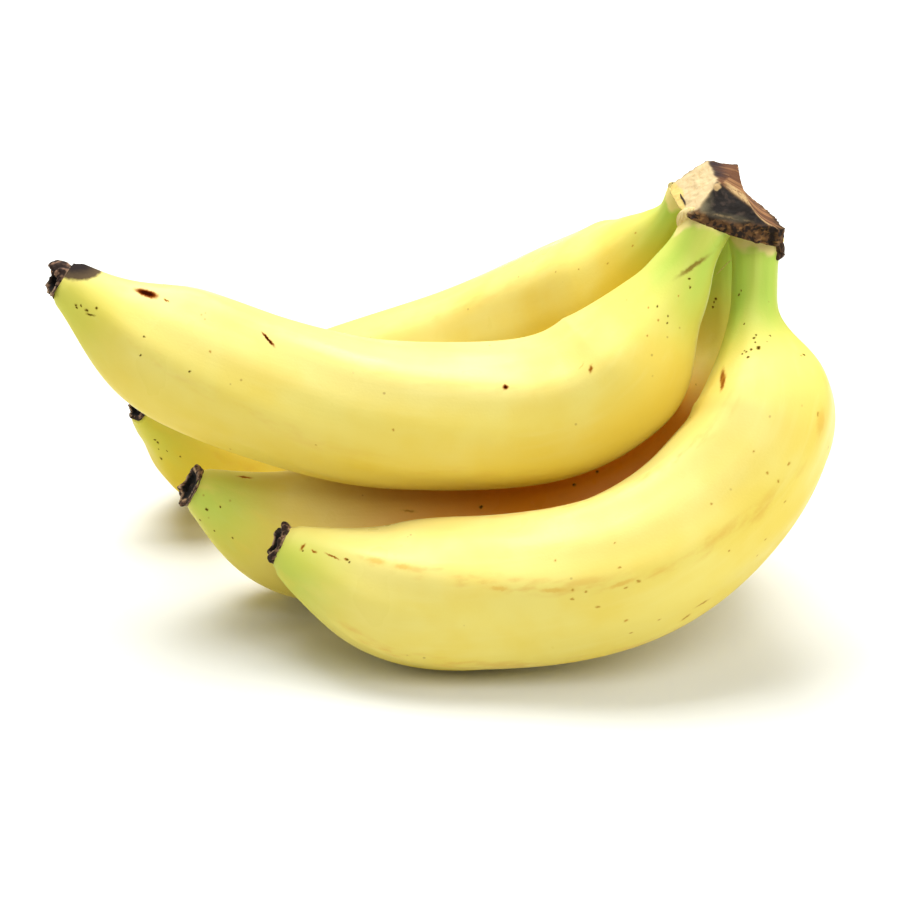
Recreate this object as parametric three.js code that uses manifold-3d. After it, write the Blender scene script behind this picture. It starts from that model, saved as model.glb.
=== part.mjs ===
// A bunch of four ripe bananas on one cut crown, lying on its outer fingers.
// Millimetres, +Z up. The table is z = 0, the origin lies under the middle of the bunch,
// +X runs towards the crown and the blossom ends point towards -X.

import * as THREE from 'three';
import { mergeVertices } from 'three/addons/utils/BufferGeometryUtils.js';
import Module from 'manifold-3d';

// Clearance between pieces that touch
const GAP = 0.3;

const UP = new THREE.Vector3(0, 0, 1);

// Finger section: rings along the fruit, sectors round it, five soft ridges
const RINGS = 32;
const SECTORS = 30;
const RIDGES = 5;
const RIDGE_RISE = 0.03;
const RIDGE_EDGE = 0.006;

// Stalk of every finger, with the collar that widens it under the crown
const STALK_RADIUS = 5.9;
const COLLAR_RISE = 0.6;
const COLLAR_START = 2;
const COLLAR_END = 14;

// How full the nose is before it closes, and how much it slims to a neck at the tip
const NOSE_POWER = 2.5;
const NOSE_NECK = 1.35;

// Each finger: greatest radius, the middle and the length of the flare from stalk to body,
// the length of the nose and the radius of the tip,
// the angle of its first ridge from the outside of the bend at the crown and how far
// the ridges wind round it on the way to the blossom end (degrees),
// the dried blossom end's radius and length,
// and the centreline from the crown to the blossom end
const FINGERS = [
  {
    name: 'upper',
    radius: 18.2,
    flareAt: 31,
    flareLength: 36,
    noseLength: 55,
    tipRadius: 5.3,
    firstRidge: 80,
    ridgeTwist: 90,
    blossom: { radius: 5.2, length: 2.8 },
    path: [
      [70, -11.5, 103.5], [56.5, -18, 80.5], [44, -23.5, 63], [25.5, -26.5, 54.5],
      [-5.5, -29, 54.5], [-32, -25, 58], [-68.5, -18.5, 70], [-92, -15.5, 85],
    ],
  },
  {
    name: 'back',
    radius: 19.5,
    flareAt: 30,
    flareLength: 43,
    noseLength: 48,
    tipRadius: 3.8,
    firstRidge: 56,
    ridgeTwist: 0,
    blossom: { radius: 3.2, length: 2 },
    path: [
      [66, 1.5, 104.5], [59, 9.5, 88.5], [51, 22, 70], [33.5, 41.5, 53],
      [7.5, 56, 36], [-25.5, 55.5, 24.5], [-55, 36.5, 19], [-78, 14.5, 37.5],
    ],
  },
  {
    name: 'front',
    radius: 19,
    flareAt: 39,
    flareLength: 35,
    noseLength: 50,
    tipRadius: 5.5,
    firstRidge: 12,
    ridgeTwist: 108,
    blossom: { radius: 5.2, length: 2.2 },
    path: [
      [80.5, -5.5, 99.5], [79.5, -17, 78], [80.5, -35.5, 57], [68.5, -47, 40.5],
      [47, -56.5, 27.5], [18.5, -56, 19.5], [-11.5, -54.5, 19.2], [-37, -48.5, 28.5],
    ],
  },
  {
    name: 'middle',
    radius: 18,
    flareAt: 45,
    flareLength: 31,
    noseLength: 46,
    tipRadius: 5.5,
    firstRidge: 30,
    ridgeTwist: 80,
    blossom: { radius: 5.4, length: 2.6 },
    path: [
      [76, 10.5, 99.5], [74, 8, 82], [73.5, 3, 56.5], [60.5, -5, 31],
      [34, -12.5, 18], [-2.5, -17, 17.5], [-37.5, -20.5, 19.5], [-61, -21, 31.5],
    ],
  },
];

// Lobes round the rim of a blossom end and how deep they are
const BLOSSOM_SECTORS = 20;
const BLOSSOM_LOBES = 5;
const LOBE_DEPTH = 0.1;

// Crown: the sloping seat on the stalks, the height of the block above it,
// and its outline seen along its own axis
const SEAT_CENTRE = new THREE.Vector3(73.5, -3, 98.1);
const SEAT_NORMAL = new THREE.Vector3(0.337, 0.015, 0.941).normalize();
const CROWN_HEIGHT = 22;
const CROWN_OUTLINE = [
  [-9, -15.5], [11.5, -14.5], [12.5, -6], [11.5, 7], [7, 17], [-1, 20], [-8, 13.5], [-15.5, 4.5],
  [-14.8, -7],
];
const CORNER_STEPS = 3;

// Corners of the cut faces on top of the crown
const APEX = new THREE.Vector3(69.7, -12, 109.8);
const RIM_LEFT = new THREE.Vector3(63.9, -18.5, 104.2);
const RIM_RIGHT = new THREE.Vector3(83, -18.5, 100.4);
const STRIP_RIGHT = new THREE.Vector3(86.2, -14, 99.3);
const TOP_LEFT = new THREE.Vector3(67.7, 1, 111.1);
const TOP_RIGHT = new THREE.Vector3(76.2, 2, 109.1);
const SCAR_LEFT = new THREE.Vector3(59.3, 2, 104.5);
const RIM_BACK = new THREE.Vector3(71.5, 14, 103);

// The hollow that the knife left in the right-hand cut face, sinking a little towards the back
const HOLLOW_RADIUS = 12.3;
const HOLLOW_CENTRE = new THREE.Vector3(88.2, -3, 109.3);
const HOLLOW_TILT = THREE.MathUtils.degToRad(-8);
const HOLLOW_SIDES = 32;

// Cutting blocks are larger than anything they cut
const BLOCK = 400;

const wasm = await Module();
wasm.setup();

const peel = new THREE.MeshStandardMaterial({ color: 0xf3dc5c, roughness: 0.5, metalness: 0 });
const driedCut = new THREE.MeshStandardMaterial({ color: 0x57412c, roughness: 0.9, metalness: 0 });
const driedBlossom = new THREE.MeshStandardMaterial({ color: 0x4a372b, roughness: 0.95, metalness: 0 });

// Turns a closed three.js geometry into a solid: shared corners are merged, flat triangles dropped.
function toSolid(geometry) {
  const bare = geometry.clone();
  bare.deleteAttribute('normal');
  bare.deleteAttribute('uv');
  const merged = mergeVertices(bare, 1e-3);
  const corners = merged.index.array;
  const kept = [];
  for (let i = 0; i < corners.length; i += 3) {
    const [a, b, c] = [corners[i], corners[i + 1], corners[i + 2]];
    if (a !== b && b !== c && c !== a) {
      kept.push(a, b, c);
    }
  }
  const vertProperties = new Float32Array(merged.attributes.position.array);
  const triVerts = new Uint32Array(kept);
  return new wasm.Manifold(new wasm.Mesh({ numProp: 3, vertProperties, triVerts }));
}

function toGeometry(solid) {
  const mesh = solid.getMesh();
  const geometry = new THREE.BufferGeometry();
  geometry.setAttribute('position', new THREE.BufferAttribute(mesh.vertProperties, 3));
  geometry.setIndex(new THREE.BufferAttribute(mesh.triVerts, 1));
  geometry.computeVertexNormals();
  return geometry;
}

function toMesh(name, solid, material) {
  const mesh = new THREE.Mesh(toGeometry(solid), material);
  mesh.name = name;
  return mesh;
}

// Everything on the side of a plane that its normal points to.
function halfSpace(point, normal) {
  const turn = new THREE.Quaternion().setFromUnitVectors(UP, normal);
  const centre = point.clone().addScaledVector(normal, BLOCK / 2);
  const block = new THREE.BoxGeometry(BLOCK, BLOCK, BLOCK);
  block.applyQuaternion(turn);
  block.translate(centre.x, centre.y, centre.z);
  return toSolid(block);
}

// The plane through three corners, its normal turned to the side that holds the outer point.
function planeNormal(a, b, c, outside) {
  const normal = new THREE.Plane().setFromCoplanarPoints(a, b, c).normal;
  const side = outside.clone().sub(a).dot(normal);
  return side < 0 ? normal.negate() : normal;
}

// A finger's centreline, its length, and the axis that it bends round.
function fingerCurve(finger) {
  const points = finger.path.map(([x, y, z]) => new THREE.Vector3(x, y, z));
  const curve = new THREE.CatmullRomCurve3(points, false, 'catmullrom', 0.5);
  const crownEnd = points[0];
  const middle = points[3];
  const blossomEnd = points[points.length - 1];
  const bendAxis = middle.clone().sub(crownEnd).cross(blossomEnd.clone().sub(middle)).normalize();
  return { curve, bendAxis, length: curve.getLength() };
}

// The local frame at a distance along the curve: forward, towards the outside of the bend, across.
function frameAt({ curve, bendAxis, length }, distance) {
  const share = THREE.MathUtils.clamp(distance / length, 0, 1);
  const forward = curve.getTangentAt(share);
  const outward = forward.clone().cross(bendAxis).normalize();
  const across = forward.clone().cross(outward);
  return { centre: curve.getPointAt(share), forward, outward, across };
}

// Girth along a finger: a collar under the crown, a slim stalk, a soft flare, a full body
// and a nose that slims to the tip.
function girth(finger, distance, length) {
  const start = finger.flareAt - finger.flareLength / 2;
  const flare = THREE.MathUtils.smoothstep(distance, start, start + finger.flareLength);
  const collar = COLLAR_RISE * (1 - THREE.MathUtils.smoothstep(distance, COLLAR_START, COLLAR_END));
  const body = STALK_RADIUS + collar + (finger.radius - STALK_RADIUS) * flare;
  const nose = Math.max(0, 1 - (length - distance) / finger.noseLength);
  return finger.tipRadius + (body - finger.tipRadius) * (1 - nose ** NOSE_POWER) ** NOSE_NECK;
}

// How far the five ridges lift the peel, fading out at the stalk and at the tip.
function ridge(finger, angle, distance, length) {
  const ridgeAngle = finger.firstRidge + (finger.ridgeTwist * distance) / length;
  const turn = RIDGES * (angle - THREE.MathUtils.degToRad(ridgeAngle));
  const lift = RIDGE_RISE * Math.cos(turn) + RIDGE_EDGE * Math.cos(2 * turn);
  const fromStalk = THREE.MathUtils.smoothstep(distance, 0, finger.flareAt + finger.flareLength / 2);
  const fromTip = THREE.MathUtils.smoothstep(length - distance, 0, finger.noseLength / 2);
  return 1 + lift * fromStalk * fromTip;
}

// A lathe-turned form, carried along a frame: its axis follows the frame's forward direction.
function bendLathe(profile, sectors, frameOf, liftOf) {
  const lathe = new THREE.LatheGeometry(profile, sectors);
  const position = lathe.attributes.position;
  for (let i = 0; i < position.count; i += 1) {
    const [x, distance, z] = [position.getX(i), position.getY(i), position.getZ(i)];
    const angle = Math.atan2(x, z);
    const reach = Math.hypot(x, z) * liftOf(angle, distance);
    const { centre, outward, across } = frameOf(distance);
    centre.addScaledVector(outward, reach * Math.cos(angle));
    centre.addScaledVector(across, reach * Math.sin(angle));
    position.setXYZ(i, centre.x, centre.y, centre.z);
  }
  return toSolid(lathe);
}

function fingerSolid(finger) {
  const line = fingerCurve(finger);
  const profile = [new THREE.Vector2(0, 0)];
  for (let ring = 0; ring <= RINGS; ring += 1) {
    const distance = (line.length * ring) / RINGS;
    profile.push(new THREE.Vector2(girth(finger, distance, line.length), distance));
  }
  profile.push(new THREE.Vector2(0, line.length));
  return bendLathe(
    profile,
    SECTORS,
    (distance) => frameAt(line, distance),
    (angle, distance) => ridge(finger, angle, distance, line.length),
  );
}

// The dried blossom end: a short lobed stub with a sunken middle, standing off the finger's tip.
function blossomSolid(finger) {
  const line = fingerCurve(finger);
  const tip = frameAt(line, line.length);
  const { radius, length } = finger.blossom;
  const profile = [
    new THREE.Vector2(0, 0),
    new THREE.Vector2(0.9 * radius, 0),
    new THREE.Vector2(radius, 0.35 * length),
    new THREE.Vector2(0.92 * radius, 0.8 * length),
    new THREE.Vector2(0.7 * radius, length),
    new THREE.Vector2(0.35 * radius, 0.85 * length),
    new THREE.Vector2(0, 0.7 * length),
  ];
  return bendLathe(
    profile,
    BLOSSOM_SECTORS,
    (distance) => ({
      centre: tip.centre.clone().addScaledVector(tip.forward, GAP + distance),
      outward: tip.outward,
      across: tip.across,
    }),
    (angle, distance) => 1 + (LOBE_DEPTH * Math.cos(BLOSSOM_LOBES * angle) * distance) / length,
  );
}

// The crown: a block that stands on the seat, with six cut faces and the knife's hollow.
function crownSolid() {
  const outline = new THREE.CatmullRomCurve3(
    CROWN_OUTLINE.map(([x, y]) => new THREE.Vector3(x, y, 0)),
    true,
  );
  const rim = outline.getPoints(CROWN_OUTLINE.length * CORNER_STEPS);
  const shape = new THREE.Shape(rim.map((point) => new THREE.Vector2(point.x, point.y)));
  const block = new THREE.ExtrudeGeometry(shape, { depth: CROWN_HEIGHT, bevelEnabled: false });
  const foot = SEAT_CENTRE.clone().addScaledVector(SEAT_NORMAL, GAP);
  block.applyQuaternion(new THREE.Quaternion().setFromUnitVectors(UP, SEAT_NORMAL));
  block.translate(foot.x, foot.y, foot.z);

  const above = SEAT_CENTRE.clone().addScaledVector(SEAT_NORMAL, BLOCK);
  const cutFaces = [
    [APEX, RIM_LEFT, RIM_RIGHT],
    [APEX, STRIP_RIGHT, TOP_RIGHT],
    [APEX, TOP_LEFT, TOP_RIGHT],
    [APEX, RIM_LEFT, SCAR_LEFT],
    [TOP_LEFT, TOP_RIGHT, RIM_BACK],
    [TOP_LEFT, SCAR_LEFT, RIM_BACK],
  ];
  let crown = toSolid(block);
  for (const [a, b, c] of cutFaces) {
    crown = crown.subtract(halfSpace(a, planeNormal(a, b, c, above)));
  }
  const hollow = new THREE.CylinderGeometry(HOLLOW_RADIUS, HOLLOW_RADIUS, BLOCK, HOLLOW_SIDES);
  hollow.rotateX(HOLLOW_TILT);
  hollow.translate(HOLLOW_CENTRE.x, HOLLOW_CENTRE.y, HOLLOW_CENTRE.z);
  return crown.subtract(toSolid(hollow));
}

const bunch = new THREE.Group();
const aboveSeat = halfSpace(SEAT_CENTRE, SEAT_NORMAL);
const underTable = halfSpace(new THREE.Vector3(), UP.clone().negate());

for (const finger of FINGERS) {
  const solid = fingerSolid(finger).subtract(aboveSeat).subtract(underTable);
  bunch.add(toMesh(`finger_${finger.name}`, solid, peel));
  bunch.add(toMesh(`blossom_end_${finger.name}`, blossomSolid(finger), driedBlossom));
}
bunch.add(toMesh('crown', crownSolid(), driedCut));

export default bunch;
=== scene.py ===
"""Dresses a bunch of bananas: four fingers in their peel, the dried blossom ends and the cut crown.

Lengths are millimetres until a mesh is made and angles are degrees. The frame is the solids' own:
the table is z = 0, +X runs towards the crown and the viewer of the photograph looks along +Y.
"""

import itertools
import logging
import math
from dataclasses import dataclass, field
from enum import Enum

import bpy
import numpy as np
from mathutils import Matrix, Vector


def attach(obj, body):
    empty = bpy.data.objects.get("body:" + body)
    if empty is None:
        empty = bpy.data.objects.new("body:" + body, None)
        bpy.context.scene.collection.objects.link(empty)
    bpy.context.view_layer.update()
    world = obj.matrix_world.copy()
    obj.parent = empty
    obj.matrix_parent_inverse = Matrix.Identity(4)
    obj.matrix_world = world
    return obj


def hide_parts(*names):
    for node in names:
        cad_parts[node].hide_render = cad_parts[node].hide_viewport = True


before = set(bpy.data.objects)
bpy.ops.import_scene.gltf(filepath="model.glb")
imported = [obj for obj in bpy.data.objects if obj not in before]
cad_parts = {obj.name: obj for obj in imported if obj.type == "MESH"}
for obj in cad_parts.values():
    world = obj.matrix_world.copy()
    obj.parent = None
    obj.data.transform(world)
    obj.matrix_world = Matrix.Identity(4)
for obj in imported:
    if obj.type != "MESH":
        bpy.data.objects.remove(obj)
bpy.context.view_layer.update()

MM = 0.001
BODY = "root"
RAGGED_EDGE = 0.9
FAR = 1e3
NEARLY_LEVEL = 1e-3

Array = np.ndarray
Point = tuple[float, float, float]
Paint = tuple[float, float, float]
Piece = bpy.types.Object
Socket = bpy.types.NodeSocket
Material = bpy.types.Material

log = logging.getLogger("bananas")


# Shared shaping

def smooth_step(value: Array, low: float, high: float) -> Array:
    """Eases from 0 at low to 1 at high along 3t^2 - 2t^3; low may be the larger one."""
    t = np.clip((value - low) / (high - low), 0.0, 1.0)
    return t * t * (3.0 - 2.0 * t)


def spline(points: Array, steps: Array) -> Array:
    """A uniform Catmull-Rom curve through the points; each end is extended by its last chord.

    Args:
        points: Corner points, one row each.
        steps: Places on the curve, counted in corners from the first.

    Returns:
        The curve's points, one row for each step.
    """
    guide = np.vstack([2 * points[0] - points[1], points, 2 * points[-1] - points[-2]])
    corner = np.minimum(steps.astype(int), len(points) - 2)
    t = (steps - corner)[:, None]
    before, here, there, after = (guide[corner + k] for k in range(4))
    leave = 0.5 * (there - before)
    arrive = 0.5 * (after - here)
    bend = 2 * here - 2 * there + leave + arrive
    pull = -3 * here + 3 * there - 2 * leave - arrive
    return ((bend * t + pull) * t + leave) * t + here


def bell(value: Array, centre: float, width: float) -> Array:
    """1 at the centre, falling off to both sides as exp(-t^2), with t counted in widths."""
    return np.exp(-(((value - centre) / width) ** 2))


def degrees_from(turn: Array, angle: float) -> Array:
    """How far each turn in radians lies from an angle in degrees, in degrees from -180 to 180."""
    return np.degrees(np.angle(np.exp(1j * (turn - math.radians(angle)))))


def unit(vectors: Array) -> Array:
    """The vectors at length 1, along the last axis."""
    return vectors / np.linalg.norm(vectors, axis=-1, keepdims=True)


def soft_noise(points: Array, cell: float, seed: int) -> Array:
    """Smooth random relief: a random number on every corner of a cubic lattice, eased between corners.

    Args:
        points: Places in millimetres, with x, y and z on the last axis.
        cell: Lattice spacing in millimetres.
        seed: Picks one relief among many.

    Returns:
        Values from -1 to 1, one for each place.
    """
    scaled = points / cell + 0.37 * seed
    base = np.floor(scaled)
    part = scaled - base
    part = part**3 * (part * (6.0 * part - 15.0) + 10.0)
    total = np.zeros(points.shape[:-1])
    for corner in itertools.product((0.0, 1.0), repeat=3):
        mixed = np.sin((base + corner) @ np.array([12.9898, 78.233, 37.719]) + seed) * 43758.5453
        weight = np.prod(np.where(np.array(corner) > 0.5, part, 1.0 - part), axis=-1)
        total = total + weight * (mixed - np.floor(mixed))
    return 2.0 * total - 1.0


def closed_skin(name: str, rings: Array, start: Array, end: Array) -> Piece:
    """A closed mesh from rings of points: neighbours are joined by quads, each end fans to one point.

    Args:
        name: The piece's name.
        rings: Points in millimetres, by ring, then by sector round the ring.
        start: The point that closes the first ring.
        end: The point that closes the last ring.

    Returns:
        The smooth-shaded object, at the origin, with its faces outwards.
    """
    count, sectors = rings.shape[:2]
    points = np.vstack([rings.reshape(-1, 3), start, end]) * MM
    sector = np.arange(sectors)
    following = (sector + 1) % sectors
    row = np.arange(count - 1)[:, None] * sectors
    quads = np.stack(
        [row + sector, row + following, row + sectors + following, row + sectors + sector], axis=-1
    ).reshape(-1, 4)
    last = (count - 1) * sectors
    pole = np.full(sectors, count * sectors)
    fans = np.vstack([
        np.stack([pole, following, sector], axis=-1),
        np.stack([pole + 1, last + sector, last + following], axis=-1),
    ])
    triangles = np.vstack([quads[:, :3], quads[:, [0, 2, 3]], fans])
    a, b, c = (points[triangles[:, k]] for k in range(3))
    if np.einsum("ij,ij->i", a, np.cross(b, c)).sum() < 0:
        quads = quads[:, ::-1]
        fans = fans[:, ::-1]

    mesh = bpy.data.meshes.new(name)
    mesh.vertices.add(len(points))
    mesh.vertices.foreach_set("co", points.astype(np.float32).ravel())
    corners = np.concatenate([quads.ravel(), fans.ravel()]).astype(np.int32)
    starts = np.concatenate([np.arange(len(quads)) * 4, quads.size + np.arange(len(fans)) * 3])
    mesh.loops.add(len(corners))
    mesh.loops.foreach_set("vertex_index", corners)
    mesh.polygons.add(len(starts))
    mesh.polygons.foreach_set("loop_start", starts.astype(np.int32))
    mesh.polygons.foreach_set("use_smooth", np.ones(len(starts), dtype=bool))
    mesh.update(calc_edges=True)
    piece = bpy.data.objects.new(name, mesh)
    bpy.context.scene.collection.objects.link(piece)
    return piece


def note_on(piece: Piece, name: str, rings: Array, start: Array, end: Array) -> None:
    """Writes a value or a vector onto every point of a closed skin, for its finish to read.

    Args:
        piece: A piece made by closed_skin.
        name: The name that the finish reads.
        rings: Values by ring and sector.
        start: The value at the closing point of the first ring.
        end: The value at the closing point of the last ring.
    """
    vector = rings.ndim == 3
    layer = piece.data.attributes.new(name, "FLOAT_VECTOR" if vector else "FLOAT", "POINT")
    width = 3 if vector else 1
    values = np.vstack([np.reshape(part, (-1, width)) for part in (rings, start, end)])
    layer.data.foreach_set("vector" if vector else "value", values.astype(np.float32).ravel())


def settle(piece: Piece, node: str | None, finish: Material) -> None:
    """Gives a piece its finish and the solid that it stands for.

    Args:
        piece: The finished piece.
        node: The solid that it replaces, or None for a scrap that replaces none.
        finish: The material to wear.
    """
    piece.data.materials.append(finish)
    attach(piece, BODY)
    if node:
        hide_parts(node)
    log.info("%s: %d points", piece.name, len(piece.data.vertices))


# Finishes

def tone(red: int, green: int, blue: int) -> Paint:
    """A colour as seen on a screen, 0 to 255, turned into the light that a shader mixes.

    Args:
        red: Red level.
        green: Green level.
        blue: Blue level.

    Returns:
        Linear red, green and blue.
    """
    levels = np.array([red, green, blue]) / 255.0
    light = np.where(levels > 0.04045, ((levels + 0.055) / 1.055) ** 2.4, levels / 12.92)
    return tuple(float(x) for x in light)


class Recipe:
    """A material written as a chain of small steps, each giving a socket to the next."""

    def __init__(self, name: str, roughness: float, specular: float) -> None:
        """Starts a material.

        Args:
            name: The material's name.
            roughness: The surface's roughness where nothing changes it.
            specular: Strength of the plain reflection.
        """
        self.material = bpy.data.materials.new(name)
        self.material.use_nodes = True
        self.tree = self.material.node_tree
        self.shader = self.tree.nodes["Principled BSDF"]
        self.shader.inputs["Roughness"].default_value = roughness
        self.shader.inputs["Specular IOR Level"].default_value = specular

    def node(self, kind: str, **inputs: object) -> bpy.types.Node:
        """Adds a node and sets or joins its inputs.

        Args:
            kind: Blender's name of the node type.
            inputs: Input names, with spaces as underscores, and a socket or a plain value for each.

        Returns:
            The new node.
        """
        made = self.tree.nodes.new(kind)
        for name, value in inputs.items():
            self.feed(made.inputs[name.replace("_", " ")], value)
        return made

    def feed(self, target: Socket, value: object) -> None:
        """Joins a socket to an input, or sets the input's plain value."""
        if isinstance(value, Socket):
            self.tree.links.new(value, target)
        elif isinstance(value, tuple) and len(value) == 3 and target.type == "RGBA":
            target.default_value = (*value, 1.0)
        else:
            target.default_value = value

    def noted(self, name: str, vector: bool = False) -> Socket:
        """The value or vector that was written on the piece's points under this name."""
        made = self.node("ShaderNodeAttribute")
        made.attribute_name = name
        return made.outputs["Vector" if vector else "Fac"]

    def place(self) -> Socket:
        """Where the surface lies, in metres from the origin."""
        return self.node("ShaderNodeTexCoord").outputs["Object"]

    def stretched(self, vector: Socket, scale: Point) -> Socket:
        """The places multiplied by a scale on each axis."""
        return self.node("ShaderNodeMapping", Vector=vector, Scale=scale).outputs["Vector"]

    def noise(self, vector: Socket, scale: float, detail: float = 2.0) -> Socket:
        """Fractal noise, about 0.5 on average, at so many lumps for each unit of the vector."""
        return self.node("ShaderNodeTexNoise", Vector=vector, Scale=scale, Detail=detail).outputs["Fac"]

    def fade(self, value: object, low: float, high: float, top: float = 1.0) -> Socket:
        """A smooth ramp from 0 at low to the top value at high."""
        made = self.node("ShaderNodeMapRange")
        made.interpolation_type = "SMOOTHSTEP"
        for name, given in (("Value", value), ("From Min", low), ("From Max", high), ("To Max", top)):
            self.feed(made.inputs[name], given)
        return made.outputs["Result"]

    def sum(self, operation: str, first: object, second: object) -> Socket:
        """One arithmetic step, such as MULTIPLY or MAXIMUM, on two numbers."""
        made = self.node("ShaderNodeMath")
        made.operation = operation
        self.feed(made.inputs[0], first)
        self.feed(made.inputs[1], second)
        return made.outputs["Value"]

    def over(self, base: object, coat: object, share: object) -> Socket:
        """One colour laid over another, as thickly as the share says."""
        made = self.node("ShaderNodeMix")
        made.data_type = "RGBA"
        self.feed(made.inputs["Factor"], share)
        self.feed(made.inputs[6], base)
        self.feed(made.inputs[7], coat)
        return made.outputs[2]

    def relief(self, height: Socket, depth: float, strength: float) -> None:
        """Fine relief on the shader's normal, so many metres deep."""
        made = self.node("ShaderNodeBump", Height=height, Distance=depth, Strength=strength)
        self.tree.links.new(made.outputs["Normal"], self.shader.inputs["Normal"])

    def wear(self, colour: Socket, roughness: Socket | None = None) -> Material:
        """Joins the finished colour, and a roughness if there is one, to the shader.

        Args:
            colour: The finished colour.
            roughness: A roughness that changes over the surface.

        Returns:
            The finished material.
        """
        self.tree.links.new(colour, self.shader.inputs["Base Color"])
        if roughness is not None:
            self.tree.links.new(roughness, self.shader.inputs["Roughness"])
        return self.material


class Blemish(Enum):
    """Kinds of mark on the peel: edge colour, heart colour, how dark it lies and how soft its edge is."""

    SCAB = (tone(150, 66, 8), tone(40, 6, 2), 0.98, 0.4)
    FLECK = (tone(146, 120, 26), tone(62, 40, 4), 0.9, 0.7)
    SCAR = (tone(160, 152, 68), tone(134, 110, 42), 0.8, 0.8)
    STREAK = (tone(190, 134, 44), tone(138, 78, 20), 0.88, 0.7)
    RUST = (tone(204, 164, 62), tone(172, 118, 38), 0.62, 0.9)
    SCUFF = (tone(228, 186, 80), tone(214, 160, 60), 0.35, 0.9)
    SCORCH = (tone(86, 70, 56), tone(46, 40, 40), 0.98, 0.12)


@dataclass(frozen=True)
class Mark:
    """One mark: its place along and round the finger, its size and its slant from lengthways."""

    along: float
    round: float
    length: float
    width: float
    slant: float = 0.0
    kind: Blemish = Blemish.FLECK


def flecks(size: float, kind: Blemish, *places: tuple[float, float]) -> tuple[Mark, ...]:
    """Round marks of one size and kind, at places along and round the finger."""
    return tuple(Mark(along, angle, size, size * 0.85, kind=kind) for along, angle in places)


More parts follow.
